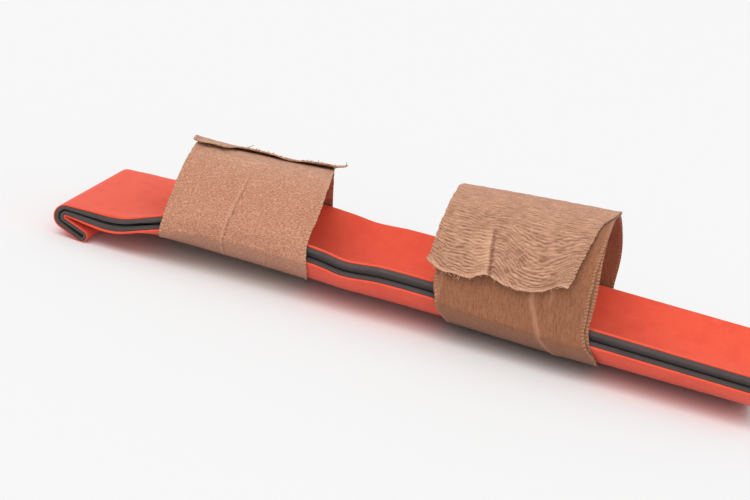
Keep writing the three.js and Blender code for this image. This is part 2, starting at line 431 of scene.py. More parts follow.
@dataclass(frozen=True)
class CrepeFinish:
    """Elastic crepe cloth: threads along and across, puckers where slack, ticks at the selvedge,
    painted shade in its valleys and on its tight turns, and painted highlight on its crests and
    creases.
    """

    name: str
    crest: tuple[float, float, float, float]
    body: tuple[float, float, float, float]
    hollow: tuple[float, float, float, float]
    shade: tuple[float, float, float, float]
    deep: tuple[float, float, float, float]
    thread: float = 0.0009
    pucker: tuple[float, float] = (0.00065, 0.0016)

    def material(self, bandage: str) -> bpy.types.Material:
        """Builds the cloth's material, on its flat coordinates: u along the bandage, v across it.

        Args:
            bandage: Name of the bandage that it is for.

        Returns:
            The material.
        """
        bench = Bench(f"{bandage}_{self.name}")
        flat = bench.add("ShaderNodeUVMap", {"uv_map": "cloth"})
        along = bench.add("ShaderNodeSeparateXYZ", {}, {0: flat}, output=0)
        across = bench.add("ShaderNodeSeparateXYZ", {}, {0: flat}, output=1)
        taut = bench.add("ShaderNodeAttribute", {"attribute_name": "taut"}, output="Fac")
        selvedge = bench.add("ShaderNodeAttribute", {"attribute_name": "selvedge"}, output="Fac")
        crests = bench.add("ShaderNodeAttribute", {"attribute_name": "crest"}, output="Fac")

        sway = bench.noise(flat, 220, 2)
        short, long = self.pucker
        dashes = bench.noise(bench.stretched(flat, (1 / short, 1 / long, 1)), 1, 2.5, 0.6)
        warp = (across * (FULL_TURN / self.thread) + 5.0 * sway).sine() * 0.5 + 0.5
        weft = (along * (FULL_TURN / (0.75 * self.thread)) + 3.0 * sway).sine() * 0.5 + 0.5
        streaks = bench.noise(bench.stretched(flat, (150, 1250, 1)), 1, 3, 0.65)
        patches = bench.noise(flat, 60, 3)
        fuzz = bench.noise(flat, 2600, 2, 0.7)

        slack = 1 - taut
        loose = slack.above(0.55, 0.95)
        speckle = dashes.above(0.4, 0.62)
        cloth = bench.mix(speckle * (0.45 + 0.55 * slack), self.hollow, self.body)
        cloth = bench.mix(slack.above(0.53, 0.95) * 0.7, cloth, self.crest)
        cloth = bench.mix(loose * 0.6, cloth, self.hollow)
        # Painted shade in the pucker valleys, broken into patches, strongest where the cloth is
        # loose.
        breaks = bench.noise(bench.stretched(flat, (420, 150, 1)), 1, 2).above(0.36, 0.6)
        valley_shade = (1 - crests.above(0.05, 0.55)) * (0.3 + 0.7 * breaks)
        cloth = bench.mix(valley_shade * (0.1 + 0.75 * loose), cloth, self.deep)
        # Painted highlight on the pucker crests.
        cloth = bench.mix(crests.above(0.5, 0.95) * (0.2 + 0.3 * loose), cloth, self.crest)
        # Painted shade on the tight turns, where the cloth is taut, with the threads' darker
        # streaks and speckle in it.
        tight_shade = bench.mix(streaks.above(0.4, 0.66) * 0.8, self.shade, self.deep)
        tight_shade = bench.mix(speckle * 0.4, tight_shade, self.hollow)
        cloth = bench.mix(taut.above(0.5, 1.05), cloth, tight_shade)
        # Painted highlight along the creases on the tight cloth, then painted shadow where the
        # crest tone falls below zero, beside the creases and at the pleat's foot.
        cloth = bench.mix(crests.above(0.8, 1.9) * 0.6 * taut, cloth, self.body)
        cloth = bench.mix((0 - crests).above(0.1, 0.9) * 0.65, cloth, self.deep)
        cloth = bench.mix(streaks.above(0.5, 0.75) * 0.32, cloth, self.shade)
        cloth = bench.mix(patches.above(0.5, 0.8) * 0.25, cloth, self.shade)
        cloth = bench.mix(fuzz.above(0.45, 0.75) * 0.22 * slack, cloth, self.crest)
        tick = (along * (FULL_TURN / 0.0021) + 9.0 * sway).sine().above(-0.2, 0.6)
        cloth = bench.mix(selvedge * (1 - tick) * 0.28, cloth, self.shade)
        cloth = bench.mix(selvedge * tick * 0.22, cloth, self.crest)
        bench.set(
            Base_Color=cloth,
            Roughness=0.88 + 0.1 * fuzz,
            Specular_IOR_Level=0.2,
            Sheen_Weight=0.16,
            Sheen_Roughness=0.45,
        )
        height = speckle * slack + warp * 0.25 + weft * 0.2 + streaks * taut * 0.8
        bench.relief(height + 0.4 * tick * selvedge + 0.2 * fuzz, 0.0003, 0.85)
        return bench.material


@dataclass(frozen=True)
class StripForm:
    """The foam and metal strip, folded in half, troughed, and hooked under at the palm end."""

    length: float = 914
    width: float = 108
    red: float = 2.05
    grey: float = 2
    core: float = 0.4
    glue: float = 0.2
    setback: float = 0.8
    fold_gap: float = 1.1
    fold_end_gap: float = 2.2
    hook_radius: float = 4.1
    hook_turn: float = math.radians(158.5)
    hook_leg: float = 14.5
    press_reach: float = 24
    trough_radius: float = 64.6
    palm_height: float = 16.4
    press: Course = Course(("at", "foam"), ((0, 0.58), (0.17, 0.65), (0.6, 0.87), (1, 1)))
    leg_press: Course = Course(
        ("at", "foam", "gap"), ((0, 0.58, 0.5), (0.5, 0.54, 0.75), (1, 0.46, 1))
    )
    course: Course = Course(
        ("at", "height", "curl", "gap"),
        (
            (0, 1, 0, 1), (0.054, 0.95, 0, 1.6), (0.082, 0.91, 0.08, 1.7),
            (0.11, 0.79, 0.37, 1.6), (0.139, 0.69, 0.64, 1.3), (0.191, 0.6, 0.92, 1),
            (0.26, 0.57, 1, 1), (0.33, 0.545, 1, 1), (0.37, 0.51, 0.98, 1),
            (0.406, 0.5, 0.9, 1.1), (0.46, 0.5, 1, 1), (0.56, 0.5, 1, 1), (0.69, 0.445, 0.98, 1),
            (0.79, 0.445, 0.95, 1), (1, 0.47, 0.88, 1),
        ),
    )

    def layer(
        self, which: Layer, foam: np.ndarray | float, half_gap: np.ndarray | float
    ) -> tuple[np.ndarray | float, np.ndarray | float]:
        """Where a layer lies in the folded strip.

        Args:
            which: The layer.
            foam: How much the foam is pressed, as a share of its free thickness.
            half_gap: Half the gap between the two halves of the fold.

        Returns:
            Its inner and outer distance from the middle of the fold.
        """
        top = half_gap + self.grey * foam
        core = top + self.glue
        red = core + self.core + self.glue
        return {
            Layer.GREY: (half_gap, top),
            Layer.CORE: (core, core + self.core),
            Layer.RED: (red, red + self.red * foam),
        }[which]

    @property
    def free_half(self) -> float:
        """Half the thickness of the folded strip where nothing presses it."""
        return self.layer(Layer.RED, 1, self.fold_gap / 2)[1]

    @property
    def run(self) -> float:
        """Works out the run from the strip's whole length.

        Returns:
            Length from the hook to the cut ends.
        """
        foam = float(self.leg_press.read("foam", 1))
        middle = self.layer(Layer.CORE, foam, self.fold_end_gap / 2)[0]
        half = (self.length - math.pi * middle) / 2
        return half - self.hook_radius * self.hook_turn - self.hook_leg

    def height(self, along: np.ndarray) -> np.ndarray:
        """Height of the middle of the fold, at a distance from the hook."""
        return self.palm_height * self.course.read("height", np.asarray(along) / self.run)

    def curl(self, along: np.ndarray) -> np.ndarray:
        """Curvature of the trough there."""
        share = self.course.read("curl", np.asarray(along) / self.run)
        return np.maximum(share, 0) / self.trough_radius

    def stations(self) -> dict[str, np.ndarray]:
        """Lists places along the whole strip: on its upper side, round the fold, and back.

        Returns:
            For each, its place and direction, the trough's curvature, how much the foam is
            pressed, half the gap, the side of the fold, and the turn where it folds.
        """
        run = self.run
        along = np.concatenate([np.arange(run, 75, -3.5), np.linspace(74, 0, 40)])
        rise = (self.height(along + 1) - self.height(along - 1)) / 2
        size = np.hypot(1, rise)
        angle = np.linspace(0, self.hook_turn, 30)[1:]
        leg = np.linspace(0, 1, 9)[1:]
        nx, nz = -np.sin(angle), np.cos(angle)
        root_x = self.hook_radius * nx[-1]
        root_z = self.palm_height - self.hook_radius + self.hook_radius * nz[-1]
        ones = np.ones_like
        half = {
            "x": np.r_[along, self.hook_radius * nx, root_x - leg * self.hook_leg * nz[-1]],
            "z": np.r_[
                self.height(along),
                self.palm_height - self.hook_radius + self.hook_radius * nz,
                root_z + leg * self.hook_leg * nx[-1],
            ],
            "nx": np.r_[-rise / size, nx, nx[-1] * ones(leg)],
            "nz": np.r_[1 / size, nz, nz[-1] * ones(leg)],
            "curl": np.r_[self.curl(along), 0 * angle, 0 * leg],
            "foam": np.r_[
                self.press.read("foam", along / self.press_reach),
                self.press.rows[0][1] * ones(angle),
                self.leg_press.read("foam", leg),
            ],
            "gap": np.r_[
                self.fold_gap / 2 * self.course.read("gap", along / run),
                self.fold_gap / 2 * ones(angle),
                self.fold_end_gap / 2 * self.leg_press.read("gap", leg),
            ],
        }
        turn = np.linspace(0, math.pi, 21)[1:-1]
        count = len(half["x"])
        whole = {k: np.r_[v, v[-1] * ones(turn), v[::-1]] for k, v in half.items()}
        whole["side"] = np.r_[np.ones(count), ones(turn), -np.ones(count)]
        whole["turn"] = np.r_[np.zeros(count), turn, np.zeros(count)]
        return whole

    def place(self, at: dict[str, np.ndarray], across: np.ndarray, out: np.ndarray) -> np.ndarray:
        """Places on the folded strip.

        Args:
            at: Stations, as columns that broadcast with the rest.
            across: Distance from the strip's middle line.
            out: Distance from the middle of the fold.

        Returns:
            Places in the part's own axes, before it is set over the origin.
        """
        ahead = out * np.sin(at["turn"])
        up = at["side"] * out * np.cos(at["turn"])
        curl = np.maximum(at["curl"], 1e-6)
        radius = 1 / curl
        middle = self.layer(Layer.CORE, at["foam"], at["gap"])[0]
        angle = across / (radius - at["side"] * middle)
        rise = radius - (radius - up) * np.cos(angle)
        y = (radius - up) * np.sin(angle)
        x = at["x"] + rise * at["nx"] - ahead * at["nz"]
        z = at["z"] + rise * at["nz"] + ahead * at["nx"]
        return np.stack(np.broadcast_arrays(x, y, z), -1)

    def shift(self) -> np.ndarray:
        """Finds what sets the part over the origin, as the CAD is.

        Returns:
            The move, from its cut ends, its middle and its lowest line.
        """
        low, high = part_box(Layer.RED.value)
        at = {k: v[:, None] for k, v in self.stations().items()}
        lowest, outer = self.layer(Layer.RED, at["foam"], at["gap"])
        places = self.place(at, np.array([0.0, self.width / 2]), outer)
        floor = min(places[..., 2].min(), self.place(at, 0.0, lowest)[..., 2].min())
        return np.array(
            [high.x / METRE - places[..., 0].max(), (low.y + high.y) / 2 / METRE, -floor]
        )


@dataclass
class FoldedStrip:
    """The strip's three layers: foam outside, foam inside and metal between."""

    form: StripForm
    red: FoamFinish
    grey: FoamFinish
    metal: MetalFinish
    rounding: float = 0.6
    lip: float = 0.74
    grey_lip: float = 1.12
    red_lip: float = 0.38

    def outline(
        self, width: float, thick: float, rounding: float
    ) -> tuple[np.ndarray, np.ndarray, np.ndarray]:
        """A layer's cross-section with rounded edges.

        Args:
            width: The layer's width.
            thick: Its thickness.
            rounding: Radius of its edges.

        Returns:
            Places across, shares of the thickness, and 1 where the section is at its edge.
        """
        reach = width / 2 - rounding
        lip = rounding / thick
        corner = np.radians([0, 22, 45, 68, 90])
        inside = width / 2 - self.lip
        top = np.r_[-reach, np.linspace(-inside, inside, LAYER_COLUMNS), reach]
        across = np.r_[
            top[:-1],
            reach + rounding * np.sin(corner),
            reach + rounding * np.cos(corner),
            -top[1:-1],
            -reach - rounding * np.sin(corner),
            -reach - rounding * np.cos(corner),
        ]
        share = np.r_[
            np.ones(LAYER_COLUMNS + 1),
            1 - lip + lip * np.cos(corner),
            lip - lip * np.sin(corner),
            np.zeros(LAYER_COLUMNS),
            lip - lip * np.cos(corner),
            1 - lip + lip * np.sin(corner),
        ]
        return across, share, (np.abs(across) > inside + 0.01) * 1.0

    def build_layer(self, which: Layer, setback: float) -> bpy.types.Object:
        """Builds one layer of the strip as a closed, formed slab.

        Args:
            which: The layer.
            setback: How far its edges and ends lie inside the others'.

        Returns:
            The piece, without its finish.
        """
        at = {k: v[:, None].copy() for k, v in self.form.stations().items()}
        at["x"][0] -= setback
        at["x"][-1] -= setback
        thick = {Layer.RED: self.form.red, Layer.GREY: self.form.grey, Layer.CORE: self.form.core}
        rounding = 0.12 if which is Layer.CORE else self.rounding
        across, share, edge = self.outline(
            self.form.width - 2 * setback, thick[which], rounding
        )
        low, high = self.form.layer(which, at["foam"], at["gap"])
        if which is Layer.GREY:
            high = high + self.grey_lip * edge
        if which is Layer.RED:
            low = low + self.red_lip * edge
        points = self.form.place(at, across, low + (high - low) * share) + self.form.shift()
        u = np.cumsum(np.r_[0, np.linalg.norm(np.diff(points[:, 0], axis=0), axis=1)]) * METRE
        v = np.cumsum(np.r_[0, np.linalg.norm(np.diff(points[5], axis=0), axis=1)]) * METRE
        uv = np.stack(np.broadcast_arrays(u[:, None], v[None, :]), -1)
        piece = formed_grid(which.value + "_sheet", points, uv, {})
        bpy.ops.object.mode_set(mode="EDIT")
        bpy.ops.mesh.select_all(action="SELECT")
        bpy.ops.mesh.remove_doubles(threshold=1e-6)
        bpy.ops.mesh.select_all(action="DESELECT")
        bpy.ops.mesh.select_mode(type="EDGE")
        bpy.ops.mesh.select_non_manifold(
            extend=False, use_wire=False, use_multi_face=False, use_non_contiguous=False
        )
        bpy.ops.mesh.edge_face_add()
        bpy.ops.mesh.select_all(action="SELECT")
        bpy.ops.mesh.normals_make_consistent(inside=False)
        bpy.ops.mesh.select_all(action="DESELECT")
        bpy.ops.object.mode_set(mode="OBJECT")
        smooth(piece, 50)
        return piece

    def build(self) -> None:
        """Builds and dresses the three layers."""
        for which, finish in ((Layer.RED, self.red), (Layer.GREY, self.grey)):
            piece = self.build_layer(which, 0)
            finish_piece(piece, finish.material(), which.value)
        core = self.build_layer(Layer.CORE, self.form.setback)
        finish_piece(core, self.metal.material(), Layer.CORE.value)


@dataclass(frozen=True)
class Hollow:
    """What the bandages are wound round: the trough, and the open hollow above it."""

    strip: StripForm
    breadth: float = 95
    depth: float = 76
    course: Course = Course(
        ("at", "breadth", "depth"),
        ((0.12, 0.65, 0.63), (0.34, 0.76, 0.72), (0.52, 0.86, 0.86), (0.76, 1, 1), (1, 1.04, 1.05)),
    )

    def reach(self, along: np.ndarray, angle: np.ndarray) -> np.ndarray:
        """Finds how far the hollow and the trough together reach.

        Args:
            along: Distance from the hook.
            angle: Direction round the ring, from straight down.

        Returns:
            Their furthest extent in that direction.
        """
        strip = self.strip
        ny, nz = np.sin(angle), -np.cos(angle)
        share = along / strip.run
        half_breadth = self.breadth / 2 * self.course.read("breadth", share)
        half_depth = self.depth / 2 * self.course.read("depth", share)
        base = strip.height(along)
        free = strip.free_half
        above = (base + free + half_depth) * nz + np.hypot(half_breadth * ny, half_depth * nz)
        inner = 1 / np.maximum(strip.curl(along), 1e-4)
        radius = inner + free
        limit = strip.width / 2 / (radius - free / 2)
        turned = np.abs(np.arctan2(ny, -nz))
        under = np.where(turned < limit, radius + (base - free + radius) * nz, -np.inf)
        best = np.maximum(above, under)
        middle = strip.layer(Layer.CORE, 1, strip.fold_gap / 2)[0]
        for side, out in ((1, free), (1, strip.fold_gap / 2), (-1, middle), (-1, free)):
            spot = strip.width / 2 / (inner - side * middle)
            y = (inner - side * out) * np.sin(spot)
            z = base + inner - (inner - side * out) * np.cos(spot)
            best = np.maximum(best, y * np.abs(ny) + z * nz)
        return best


@dataclass(frozen=True)
class Ridge:
    """A crease or an edge that shows through: distances from the cut end and x, its height, and how
    strong its painted highlight and shadow lines are.
    """

    path: tuple[tuple[float, float], ...]
    height: float
    spread: float
    step: float = 0
    # Strength of the painted highlight and shadow lines along the crease.
    tone: float = 1


@dataclass(frozen=True)
class Pleat:
    """A fold in the loose flap, which rises slowly on one side and drops on the other."""

    path: tuple[tuple[float, float], ...]
    height: float
    rise: float
    drop: float


@dataclass(frozen=True)
class Winding:
    """One bandage's sizes: where it sits, how far it is wound, and how its free end goes."""

    name: str
    at: float
    width: float
    lean: float
    lean_angle: float
    start: float
    wound: float
    free: float
    free_course: Course
    edge: Course
    wander: Course
    pucker_height: float
    slack: Course
    flat: tuple[float, float]
    shown: float
    columns: int
    ridges: tuple[Ridge, ...] = ()
    pleat: Pleat | None = None
    fringe: Course = Course(("across", "reach"), ((-0.5, 1), (0.5, 1)))
    sag: float = 0
    thick: float = 0.8
    turn_gap: float = 0.2
    seat: float = 0.6
    ring_step: float = math.radians(9)
    seed: int = 1


@dataclass
class Bandage:
    """A crepe bandage wound round the splint and the open hollow, with its cut end loose."""

    winding: Winding
    hollow: Hollow
    finish: CrepeFinish
    threads: int = 64
    floor: float = 0.0
    surface: dict[str, np.ndarray] = field(default_factory=dict)

    def rows(self) -> tuple[np.ndarray, np.ndarray]:
        """Spaces the rows of vertices along the bandage.

        Returns:
            Shares of the wound part, and shares of the loose end.
        """
        turns = self.winding.wound / FULL_TURN
        steps = np.array((HIDDEN_STEP, 3, SHOWN_STEP, 0.8, NEAR_STEP)) / CIRCUMFERENCE
        hidden = np.arange(0, turns - self.winding.shown, steps[0])
        shown = np.arange(hidden[-1] + steps[1], turns - NEAR_TURNS, steps[2])
        near = np.arange(shown[-1] + steps[3], turns, steps[4])
        wound = np.r_[hidden, shown, near, turns] / turns
        loose = np.linspace(0, 1, max(int(self.winding.free / 0.44), 12) + 1)[1:]
        return wound, loose

    def ring(self, across: np.ndarray) -> dict[str, np.ndarray]:
        """Winds the bare bandage at fine steps round the ring.

        Args:
            across: Places across the bandage, as shares of its width.

        Returns:
            Its places and their directions, a column for each place across.
        """
        size = self.winding
        step = math.radians(1)
        first = (round(size.start / size.ring_step) + 0.5) * size.ring_step
        angle = np.arange(first, first + size.wound + math.radians(110), step)[:, None]
        x = size.at + size.lean * np.cos(np.minimum(angle, first + size.wound) - size.lean_angle)
        x = x + size.width * across[None, :]
        turns = np.minimum((angle - first), size.wound) / FULL_TURN
        share = turns - np.floor(turns)
        climb = ease(share * 40, 36, 39)
        pitch = size.thick + size.turn_gap
        out = size.seat + pitch * (np.floor(turns) + climb) + size.thick
        a = self.hollow.reach(x, angle - step / 2) + out
        b = self.hollow.reach(x, angle + step / 2) + out
        y = (-a * np.cos(angle + step / 2) + b * np.cos(angle - step / 2)) / math.sin(step)
        z = (-a * np.sin(angle + step / 2) + b * np.sin(angle - step / 2)) / math.sin(step)
        return {"x": x, "y": y, "z": z, "angle": angle + 0 * x, "first": first}

    def ground(
        self, wound: np.ndarray, loose: np.ndarray, across: np.ndarray
    ) -> dict[str, np.ndarray]:
        """Forms the bandage's surface before it puckers, evenly stepped along its length.

        Args:
            wound: Rows of the wound part, as shares of its length.
            loose: Rows of the loose end, as shares of its length.
            across: Places across the bandage, as shares of its width.

        Returns:
            Its places, and how far each is along it and from the cut.
        """
        size = self.winding
        ring = self.ring(across)
        end = ring["first"] + size.wound
        free = size.free + size.edge.read("reach", across)
        named = {k: [] for k in ("x", "y", "z", "angle", "length")}
        for j in range(len(across)):
            y, z, angle = ring["y"][:, j], ring["z"][:, j], ring["angle"][:, j]
            length = np.r_[0, np.cumsum(np.hypot(np.diff(y), np.diff(z)))]
            stop = np.interp(end, angle, length)
            at = np.r_[wound * stop, stop + loose * free[j]]
            named["length"].append(at)
            for key, values in (("y", y), ("z", z), ("angle", angle)):
                named[key].append(np.interp(at, length, values))
            near = [np.interp(at + k, length, ring["x"][:, j]) for k in range(-10, 11, 2)]
            named["x"].append(np.mean(near, axis=0))
        got = {k: np.stack(v, 1) for k, v in named.items()}
        share = np.r_[0 * wound, loose][:, None] + 0 * across[None, :]
        wide = size.free_course.read("width", share)
        length = got["length"][:, [len(across) // 2]]
        got["from_end"] = length - length[-1] + 0 * got["length"]
        left = size.wander.read("left", got["from_end"])
        right = size.wander.read("right", got["from_end"])
        got["x"] = got["x"] + left * (0.5 - across[None, :]) + right * (0.5 + across[None, :])
        got["x"] = got["x"] + size.width * (
            size.free_course.read("shift", share) + across[None, :] * (wide - 1)
        )
        got["loose"] = share
        return got

    def normals(self, points: np.ndarray) -> np.ndarray:
        """Finds which way is out of the wound surface.

        Args:
            points: Rows by columns of places on it.

        Returns:
            A direction of length 1 at each.
        """
        along = np.gradient(points, axis=0)
        over = np.gradient(points, axis=1)
        out = np.cross(along, over)
        out /= np.maximum(np.linalg.norm(out, axis=-1, keepdims=True), 1e-9)
        middle = points.mean(axis=(0, 1))
        towards = points - middle
        towards[..., 0] = 0
        sign = np.sign(np.sum(out * towards, -1).mean())
        return out * sign

    def puckers(
        self, got: dict[str, np.ndarray], across: np.ndarray
    ) -> tuple[np.ndarray, np.ndarray]:
        """The crepe's puckers: short wavy crests across the bandage, where it is slack.

        Args:
            got: The surface before it puckers.
            across: Place across the bandage, as a share of its width.

        Returns:
            Height of each crest from 0 to 1, and how slack the cloth is.
        """
        size = self.winding
        level = got["length"][:, [len(across) // 2]] + 0 * got["length"]
        side = across[None, :] * size.width
        slack = size.slack.read("slack", got["from_end"])
        sway = Unevenness(size.seed).read(level / 8, side / 22) * 0.9
        sway = sway + Unevenness(size.seed + 1).read(level / 2.2, side / 3.2) * 0.55
        hang = np.sin(math.pi * np.clip((across + 0.04) / 0.54, 0, 1))[None, :] ** 1.2
        sway = sway - size.sag * hang * ease(got["from_end"], -62, -8)
        share = ease(Unevenness(size.seed + 4).read(level / 3, side / 4.4), -0.35, 0.35)
        first = np.cos(FULL_TURN * (level + sway + 0.09 * side) / PUCKER_PITCHES[0])
        other = np.cos(FULL_TURN * (level + sway - 0.1 * side + 1.2) / PUCKER_PITCHES[1])
        wave = first * share + other * (1 - share)
        patch = 0.62 + 0.38 * Unevenness(size.seed + 2).read(level / 1.6, side / 3.4)
        fine = 0.16 * Unevenness(size.seed + 3).read(level / 1.2, side / 3.5)
        return (0.5 + 0.5 * wave) ** 0.75 * patch + fine, slack

    def form(self) -> None:
        """Works out the cloth's outer surface, its tones and its flat coordinates."""
        size = self.winding
        wound, loose = self.rows()
        lip = np.array([0.5, 0.494, 0.486, 0.476])
        inner = np.linspace(-0.464, 0.464, size.columns - 7)
        across = np.r_[-lip, inner, lip[::-1]]
        got = self.ground(wound, loose, across)
        points = np.stack([got["x"], got["y"], got["z"]], -1)
        out = self.normals(points)
        crest, slack = self.puckers(got, across)
        crest = 0.5 + (crest - 0.5) * np.clip(slack * 2.2, 0, 1)
        side = across[None, :] * size.width
        level = got["length"]
        reach = size.shown * CIRCUMFERENCE
        outer = ease(got["from_end"], -reach, 15 - reach)
        lift = size.free_course.read("lift", got["loose"])
        tilt = size.free_course.read("tilt", got["loose"])
        height = (size.thick + size.turn_gap) * lift * (1 + tilt * across[None, :])
        height = height + size.pucker_height * crest * slack**3 * outer
        flutter = Unevenness(size.seed + 7).read(level / 9, side / 11)
        height = height + 0.8 * ease(got["loose"], 0.2, 1) * flutter
        for ridge in size.ridges:
            raised, line = self.ridge(ridge, got)
            height = height + raised * outer
            # The crease's painted highlight and shadow go into the crest tone.
            crest = crest + line * outer
        if size.pleat:
            raised, line = self.fold(size.pleat, got["from_end"], side)
            height = height + raised
            # Painted highlight on the raised pleat and painted shadow at its foot, in the crest
            # tone.
            crest = crest + 0.3 * raised - 1.1 * line
        height = height + size.edge.read("lift", across)[None, :] * got["loose"] ** 1.5
        rolled = ease(got["from_end"], -2.4, -0.4)
        height = height + 0.6 * rolled
        # Painted highlight along the rolled cut edge, in the crest tone.
        crest = crest + 0.5 * rolled
        edge = ease(np.abs(side), size.width / 2 - 2.6, size.width / 2 - 0.6)
        height = height + 0.18 * edge * outer
        scallop = Unevenness(size.seed + 5).read(level / 1.6, np.sign(side) * 3.3)
        points[..., 0] += edge * np.sign(side) * (0.34 * scallop - 0.1) * outer
        points += out * height[..., None]
        points += self.hollow.strip.shift()
        points[..., 2] = np.maximum(points[..., 2], self.floor + 0.02)
        # Taut cloth takes painted shade in the material.
        taut = 1 - np.clip(slack, 0, 1)
        uv = np.stack([level, np.broadcast_to(side, level.shape)], -1) * METRE
        self.surface = {
            "points": points,
            "out": out,
            "uv": uv,
            "taut": taut,
            "crest": np.clip(crest, -1, 2),
            "selvedge": edge + 0 * level,
        }

    def ridge(self, ridge: Ridge, got: dict[str, np.ndarray]) -> tuple[np.ndarray, np.ndarray]:
        """Forms a crease, with the step beside it.

        Args:
            ridge: The crease.
            got: The surface before it puckers.

        Returns:
            Height at each place, and the painted highlight and shadow lines along the crease.
        """
        path = np.array(ridge.path, float)
        place = got["from_end"]
        middle = np.interp(place, path[:, 0], path[:, 1])
        low, high = path[0, 0], path[-1, 0]
        kept = ease(place, low - 5, low + 5) * (1 - ease(place, high - 5, high + 5))
        away = (got["x"] + self.hollow.strip.shift()[0] - middle) / ridge.spread
        step = ridge.step * ease(away, -1.2, 0.4) * (1 - ease(away, 2, 16))
        # A painted highlight on the crease and a painted shadow beside it.
        line = 1.1 * np.exp(-(away**2)) - 1.3 * np.exp(-((away - 1.7) ** 2))
        return kept * (ridge.height * np.exp(-(away**2)) + step), kept * line * ridge.tone

    def fold(
        self, pleat: Pleat, from_end: np.ndarray, side: np.ndarray
    ) -> tuple[np.ndarray, np.ndarray]:
        """Forms the flap's pleat.

        Args:
            pleat: The pleat.
            from_end: Distance of each place from the cut.
            side: Distance of each from the bandage's middle line.

        Returns:
            Height at each place, and the strength of the painted shadow line at the pleat's foot.
        """
        path = np.array(pleat.path, float)
        middle = np.interp(from_end, path[:, 0], path[:, 1])
        away = side - middle
        shape = np.where(away < 0, np.exp(away / pleat.rise), 1 - ease(away, 0, pleat.drop))
        kept = ease(from_end, path[0, 0], path[0, 0] * 0.6)
        return pleat.height * kept * shape, kept * np.exp(-(((away - pleat.drop) / 0.9) ** 2))

    def build(self) -> None:
        """Builds and dresses the bandage and the threads at its cut end."""
        self.form()
        size, made = self.winding, self.surface
        tones = {k: made[k] for k in ("taut", "crest", "selvedge")}
        piece = formed_grid(size.name + "_cloth", made["points"], made["uv"], tones)
        normals = np.empty(len(piece.data.polygons) * 3, np.float32)
        piece.data.polygons.foreach_get("normal", normals)
        centres = np.empty(len(piece.data.polygons) * 3, np.float32)
        piece.data.polygons.foreach_get("center", centres)
        normals, centres = normals.reshape(-1, 3), centres.reshape(-1, 3)
        towards = (centres - centres.mean(0)) * (0, 1, 1)
        if np.sum(normals * towards) < 0:
            bpy.ops.object.mode_set(mode="EDIT")
            bpy.ops.mesh.select_all(action="SELECT")
            bpy.ops.mesh.flip_normals()
            bpy.ops.mesh.select_all(action="DESELECT")
            bpy.ops.object.mode_set(mode="OBJECT")
        choose(piece)
        bpy.ops.object.modifier_add(type="SOLIDIFY")
        wall = piece.modifiers[-1]
        wall.thickness = size.thick * METRE
        wall.offset = -1
        bpy.ops.object.modifier_apply(modifier=wall.name)
        smooth(piece, 60)
        material = self.finish.material(size.name)
        finish_piece(piece, material, size.name)
        fringe = self.fringe()
        finish_piece(fringe, material, None)

    def fringe(self) -> bpy.types.Object:
        """Builds the short thread ends along the cut.

        Returns:
            One mesh of fine tubes.
        """
        size, made = self.winding, self.surface
        chance = np.random.default_rng(size.seed + 20)
        points, out = made["points"], made["out"]
        line = bpy.data.curves.new(size.name + "_threads", "CURVE")
        line.dimensions = "3D"
        line.bevel_depth = 0.0002
        line.bevel_resolution = 1
        line.resolution_u = 3
        end, before = points[-1], points[-6]
        ahead = end - before
        ahead /= np.linalg.norm(ahead, axis=-1, keepdims=True)
        spread = chance.uniform(-0.008, 0.008, self.threads)
        for place in np.linspace(0.01, 0.99, self.threads) + spread:
            j = int(np.clip(place, 0, 1) * (end.shape[0] - 1))
            reach = chance.gamma(2.2, 0.55) * float(size.fringe.read("reach", place - 0.5)) + 0.25
            lean = chance.normal(0, 0.5)
            curl = chance.normal(0.1, 0.35)
            spline = line.splines.new("BEZIER")
            spline.bezier_points.add(2)
            for k, point in enumerate(spline.bezier_points):
                t = (0.0, 0.55, 1.0)[k]
                spot = end[j] - 0.35 * ahead[j] - 0.3 * out[-1, j]
                spot = spot + ahead[j] * reach * t
                spot = spot + np.array([1.0, 0, 0]) * lean * reach * t * t
                spot = spot + out[-1, j] * curl * reach * t * t
                spot[2] = max(spot[2], 0.3)
                point.co = Vector(spot * METRE)
                point.handle_left_type = point.handle_right_type = "AUTO"
        piece = bpy.data.objects.new(size.name + "_threads", line)
        bpy.context.scene.collection.objects.link(piece)
        choose(piece)
        bpy.ops.object.convert(target="MESH")
        piece = bpy.context.active_object
        piece.data.uv_layers.new(name="cloth")
        # The threads are given a crest tone of 0.9, which puts the crest's painted highlight on
        # them and keeps the valley shade off.
        tone = piece.data.attributes.new("crest", "FLOAT", "POINT")
        tone.data.foreach_set("value", np.full(len(piece.data.vertices), 0.9, np.float32))
        smooth(piece, 60)
        return piece


